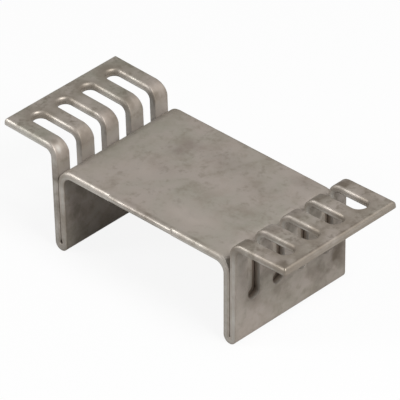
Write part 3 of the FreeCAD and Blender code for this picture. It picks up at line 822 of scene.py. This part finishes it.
# First painted shade on the lower half of the right tip, so that its lower rounding catches less light,
# then dirt at the slots' outer ends, painted light on the walls of the right wing's slots, painted
# highlights on their rims in the bends and dirt on those rims by the slots' outer ends, and the plating
# salts in the legs' slots, on the cut and in the corner that it makes with the other ply.
DIRT_AND_PAINTED_LIGHT = (
    (("tips", "right", "low_levels"), "smears", 0.35, 0.65, 0.8, 1.0, "smudge_and_shade"),
    (("slot_ends", "by_slots"), "smears", 0.35, 0.55, 0.5, 0.9, "smudge_and_shade"),
    (("slot_edges", "fingers", "right", "off_underside"), "smears", 0.3, 0.6, 0.05, 0.20, "bright"),
    (("rims", "fingers", "bends", "right"), "smears", 0.30, 0.60, 0.0, 0.15, "worn"),
    (("rims", "slot_ends", "right"), "smears", 0.30, 0.60, 0.40, 0.80, "smudge_and_shade"),
    (("slot_edges", "legs", "right", "inner_levels"), "specks", 0.35, 0.65, 0.85, 0.65, "residue"),
    (("slot_edges", "slot_feet", "right", "inner_levels"), "specks", 0.35, 0.65, 0.95, 0.8, "stain"),
)
# Clouds of plating are 2 to 3 mm wide, smears of handling about 1 mm and specks a third of that. Each
# noise has its width and its detail.
NOISE_WIDTHS = {"clouds": (2.4 * MM, 3.0), "smears": (0.9 * MM, 4.0), "specks": (0.30 * MM, 3.0)}
# Burnishing comes and goes along an edge over about half a millimetre.
RUB_WIDTH = 0.5 * MM
# Matte tin's crystals are a few micrometres across: the grain is drawn this wide so that it shows.
GRAIN_WIDTH = 0.06 * MM
GRAIN_DEPTH = 0.004 * MM
GRAIN_STRENGTH = 0.3
# How much of the burnished and of the torn metal's colour shows on the cut.
BURNISHED_SHARE = 0.3
TORN_SHARE = 0.8
# How much smoother and how much duller than the rest the tin is in places.
SMOOTHER = 0.05
DULLER = 0.07


def start_tree(owner):
    """Empties the node tree of a material or a world and returns add_node for it."""
    owner.use_nodes = True
    owner.node_tree.nodes.clear()
    return partial(add_node, owner.node_tree)


def make_tin_plate(look, strip):
    """Matte electroplated tin on copper sheet: a dull, even, warm grey with faint cloudy patches of
    thicker and thinner plating, handling smudges, a greenish film on the left wing, brown dirt by the
    slots, a fine crystalline grain, edges that tumbling has burnished to a shine, and torn metal below
    them on the cut. Light and shade are painted on it as well: darker crests on the fingers' bends,
    partly dirt, that dim the lamps' sheen there, lighter faces where the lamps fall short, darker cut
    faces and grooves, and painted highlights on some edges."""
    material = bpy.data.materials.new("matte_tin_plate_on_copper_sheet")
    add = start_tree(material)
    blank = add("ShaderNodeAttribute", attribute_name="on_blank").outputs["Vector"]
    worn, torn, from_slot = [
        add("ShaderNodeAttribute", attribute_name=name).outputs["Fac"]
        for name in ("worn", "torn", "from_slot")]
    flat = add("ShaderNodeSeparateXYZ", {0: blank}).outputs
    along = add("ShaderNodeMath", {0: flat["X"]}, operation="ABSOLUTE")
    off_edge = add("ShaderNodeMath", {0: from_slot}, operation="ABSOLUTE")

    fields = {}
    for name, (width, detail) in NOISE_WIDTHS.items():
        fields[name] = add("ShaderNodeTexNoise", {
            "Vector": blank, "Scale": 0.5 / width, "Detail": detail, "Roughness": 0.6})

    measures = {"along": along, "x": flat["X"], "level": flat["Z"],
                "from_slot": from_slot, "off_edge": off_edge}
    zones = {"rims": add("ShaderNodeMapRange", {0: worn, 1: RIM_START, 2: RIM_FULL})}
    for name, measure, start, none, full in ZONES:
        start = getattr(strip, start) if start else 0.0
        zones[name] = add("ShaderNodeMapRange", {
            0: measures[measure], 1: start + none * MM, 2: start + full * MM})

    def lay(layers, tint):
        for places, field, clear, full, least, most, layer in layers:
            share = add("ShaderNodeMapRange", {0: fields[field], 1: clear, 2: full, 3: least, 4: most})
            for place in places:
                share = add("ShaderNodeMath", {0: share, 1: zones[place]}, operation="MULTIPLY")
            paint = linear(getattr(look, layer))
            tint = add("ShaderNodeMix", {0: share, 6: tint, 7: paint}, data_type="RGBA")
        return tint

    tint = lay(COAT, linear(look.base))

    coming = add("ShaderNodeTexNoise", {"Vector": blank, "Scale": 0.5 / RUB_WIDTH})
    coming = add("ShaderNodeMapRange", {0: coming, "From Min": 0.35, "From Max": 0.65, "To Min": 0.25})
    rubbed = add("ShaderNodeMath", {0: worn, 1: coming}, operation="MULTIPLY")
    for metal, most, layer in ((rubbed, BURNISHED_SHARE, look.worn), (torn, TORN_SHARE, look.torn)):
        share = add("ShaderNodeMath", {0: metal, 1: most}, operation="MULTIPLY")
        tint = add("ShaderNodeMix", {0: share, 6: tint, 7: linear(layer)}, data_type="RGBA")

    # A mark is full near its middle and gone at its reach, and the smears break it up.
    broken = add("ShaderNodeMapRange", {
        0: fields["smears"], "From Min": 0.35, "From Max": 0.60, "To Min": 0.3})
    for place_along, place_across, reach_along, reach_across, strength, layer in MARKS_AND_PAINTED_LIGHT:
        middle = (place_along * MM, place_across * MM, 0.0)
        shrink = (1 / (reach_along * MM), 1 / (reach_across * MM), 0.0)
        offset = add("ShaderNodeVectorMath", {0: blank, 1: middle}, operation="SUBTRACT")
        scaled = add("ShaderNodeVectorMath", {0: offset, 1: shrink}, operation="MULTIPLY")
        reach = add("ShaderNodeVectorMath", {0: scaled}, operation="LENGTH")
        share = add("ShaderNodeMapRange", {0: reach, "From Min": 1.0, "From Max": 0.2, "To Max": strength})
        share = add("ShaderNodeMath", {0: share, 1: broken}, operation="MULTIPLY")
        paint = linear(getattr(look, layer))
        tint = add("ShaderNodeMix", {0: share, 6: tint, 7: paint}, data_type="RGBA")
    tint = lay(DIRT_AND_PAINTED_LIGHT, tint)

    dull = add("ShaderNodeMapRange", {
        0: fields["smears"], "From Min": 0.35, "From Max": 0.65,
        "To Min": look.roughness - SMOOTHER, "To Max": look.roughness + DULLER})
    rough = add("ShaderNodeMix", {0: rubbed, 2: dull, 3: look.burnished_roughness})
    grain = add("ShaderNodeTexNoise", {"Vector": blank, "Scale": 0.5 / GRAIN_WIDTH})
    bump = add("ShaderNodeBump", {"Strength": GRAIN_STRENGTH, "Distance": GRAIN_DEPTH, "Height": grain})
    shader = add("ShaderNodeBsdfPrincipled",
                 {"Base Color": tint, "Metallic": look.metallic, "Roughness": rough, "Normal": bump})
    add("ShaderNodeOutputMaterial", {"Surface": shader})
    return material


class HEATSINK_OT_fold_sheet(bpy.types.Operator):
    """Cut the slotted blank, fold it and plate it"""

    bl_idname = "heatsink.fold_sheet"
    bl_label = "Fold Heat Sink"

    def execute(self, context):
        sizes = context.scene.heat_sink_sizes
        strip = Strip(sizes)
        blank = bpy.data.objects.new("flat_blank", make_blank(strip, sizes))
        context.scene.collection.objects.link(blank)
        mesh = fold(blank, {
            "Slots": sizes.slot_count,
            "Pitch": sizes.slot_pitch,
            "Plate bend start": strip.plate_end,
            "Plate bend radius": strip.plate_radius,
            "Plate bend angle": strip.plate_angle,
            "Hem start": strip.inner_end,
            "Hem radius": strip.hem_radius,
            "Hem angle": strip.hem_angle,
            "Wing bend start": strip.outer_end,
            "Wing bend radius": strip.wing_radius,
            "Wing bend angle": strip.wing_angle,
            "Left eye": sizes.eye_left,
            "Right eye": sizes.eye_right,
            "Near stub": sizes.near_stub,
            "Far stub": sizes.far_stub,
            "Stub shift": sizes.stub_shift,
            "Plate height": sizes.plate_height - sizes.thickness / 2,
            "Unevenness": sizes.unevenness,
            "Seed": SEED,
            "Material": make_tin_plate(context.scene.tin_plate_look, strip),
        })
        bpy.data.objects.remove(blank)
        if not mesh.polygons:
            raise RuntimeError("the folded sheet came out empty")
        mesh.name = "folded_sheet"
        piece = bpy.data.objects.new("folded_sheet", mesh)
        context.scene.collection.objects.link(piece)
        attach(piece, BODY)
        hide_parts(NODE)
        return {"FINISHED"}


FLOOR_SIZE = 1.2
FLOOR_WHITE = "#C8C8C8"
# How far the floor and the backdrop are plain white to the camera, and by gloss or through glass.
WHITE_IN_VIEW = 0.90
WHITE_IN_GLOSS = 0.10
# Each lamp's azimuth and elevation in degrees, its distance from the aimed point and its width.
KEY_PLACE = (-42.0, 24.0, 0.30, 0.12)
FILL_PLACE = (90.0, 50.0, 0.30, 0.15)
NEAREST_SEEN = 0.01
FARTHEST_SEEN = 10.0


def add_whiteness(add):
    """How far a ray sees plain white."""
    path = add("ShaderNodeLightPath").outputs
    bent = add("ShaderNodeMath",
               {0: path["Is Glossy Ray"], 1: path["Is Transmission Ray"]}, operation="MAXIMUM")
    share = add("ShaderNodeMath", {0: bent, 1: WHITE_IN_GLOSS}, operation="MULTIPLY")
    return add("ShaderNodeMix", {0: path["Is Camera Ray"], 2: share, 3: WHITE_IN_VIEW})


def make_floor(scene):
    """Matte pale card that takes the object's shadow."""
    material = bpy.data.materials.new("matte_white_card")
    add = start_tree(material)
    card = add("ShaderNodeBsdfDiffuse", {"Color": linear(FLOOR_WHITE)})
    white = add("ShaderNodeEmission")
    mixed = add("ShaderNodeMixShader", {0: add_whiteness(add), 1: card, 2: white})
    add("ShaderNodeOutputMaterial", {"Surface": mixed})

    mesh = bpy.data.meshes.new("floor")
    half = FLOOR_SIZE / 2
    corners = [(-half, -half, 0), (half, -half, 0), (half, half, 0), (-half, half, 0)]
    mesh.from_pydata(corners, [], [(0, 1, 2, 3)])
    mesh.materials.append(material)
    floor = bpy.data.objects.new("floor", mesh)
    scene.collection.objects.link(floor)


def make_world(scene, strength):
    """Even soft light from all round, in front of a plain white backdrop."""
    world = bpy.data.worlds.new("studio_dome")
    add = start_tree(world)
    strength = add("ShaderNodeMix", {0: add_whiteness(add), 2: strength, 3: 1.0})
    light = add("ShaderNodeBackground", {"Color": linear("#FFFFFF"), "Strength": strength})
    add("ShaderNodeOutputWorld", {"Surface": light})
    scene.world = world


def towards(azimuth, elevation):
    """The direction from the object to a lamp or a camera: azimuth 0 is in front."""
    level = math.cos(elevation)
    return Vector((math.sin(azimuth) * level, -math.cos(azimuth) * level, math.sin(elevation)))


def make_lamp(scene, name, place, power, aim):
    """A round softbox that points at the aimed point."""
    azimuth, elevation, distance, width = place
    back = towards(math.radians(azimuth), math.radians(elevation))
    data = bpy.data.lights.new(name, "AREA")
    data.shape = "DISK"
    data.size = width
    data.energy = power
    lamp = bpy.data.objects.new(name, data)
    lamp.location = aim + back * distance
    lamp.rotation_euler = back.to_track_quat("Z", "Y").to_euler()
    scene.collection.objects.link(lamp)


def make_camera(scene, studio, aim):
    back = towards(studio.azimuth, studio.elevation)
    level = Vector((math.cos(studio.azimuth), math.sin(studio.azimuth), 0.0))
    upright = back.cross(level)
    right = level * math.cos(studio.roll) + upright * math.sin(studio.roll)
    up = back.cross(right)
    data = bpy.data.cameras.new("camera")
    data.lens = studio.lens
    data.clip_start = NEAREST_SEEN
    data.clip_end = FARTHEST_SEEN
    camera = bpy.data.objects.new("camera", data)
    turn = Matrix((right, up, back)).transposed()
    place = aim - right * studio.aim_right - up * studio.aim_up + back * studio.distance
    camera.matrix_world = Matrix.Translation(place) @ turn.to_4x4()
    scene.collection.objects.link(camera)
    scene.camera = camera


class HEATSINK_OT_set_stage(bpy.types.Operator):
    """Add the floor, the lights and the camera"""

    bl_idname = "heatsink.set_stage"
    bl_label = "Set Stage"

    def execute(self, context):
        scene = context.scene
        studio = scene.studio_look
        aim = Vector((0.0, 0.0, studio.aim_height))
        scene.view_settings.view_transform = "Standard"
        make_floor(scene)
        make_world(scene, studio.dome)
        make_lamp(scene, "key_softbox", KEY_PLACE, studio.key, aim)
        make_lamp(scene, "fill_softbox", FILL_PLACE, studio.fill, aim)
        make_camera(scene, studio, aim)
        return {"FINISHED"}


class HEATSINK_PT_panel(bpy.types.Panel):
    """Lists the sizes, the finish and the stage of the heat sink"""

    bl_idname = "HEATSINK_PT_panel"
    bl_label = "Heat Sink"
    bl_space_type = "VIEW_3D"
    bl_region_type = "UI"
    bl_category = "Heat Sink"

    def draw(self, context):
        for group, operator in (
            (context.scene.heat_sink_sizes, None),
            (context.scene.tin_plate_look, HEATSINK_OT_fold_sheet),
            (context.scene.studio_look, HEATSINK_OT_set_stage),
        ):
            box = self.layout.box()
            for name in group.__annotations__:
                box.prop(group, name)
            if operator:
                box.operator(operator.bl_idname)


CLASSES = (HeatSinkSizes, TinPlateLook, StudioLook,
           HEATSINK_OT_fold_sheet, HEATSINK_OT_set_stage, HEATSINK_PT_panel)
GROUPS = {"heat_sink_sizes": HeatSinkSizes, "tin_plate_look": TinPlateLook, "studio_look": StudioLook}


def register():
    for entry in CLASSES:
        bpy.utils.register_class(entry)
    for name, group in GROUPS.items():
        setattr(bpy.types.Scene, name, bpy.props.PointerProperty(type=group))


def unregister():
    for name in GROUPS:
        delattr(bpy.types.Scene, name)
    for entry in reversed(CLASSES):
        bpy.utils.unregister_class(entry)


def main():
    register()
    bpy.ops.heatsink.fold_sheet()
    bpy.ops.heatsink.set_stage()


if __name__ == "__main__":
    main()
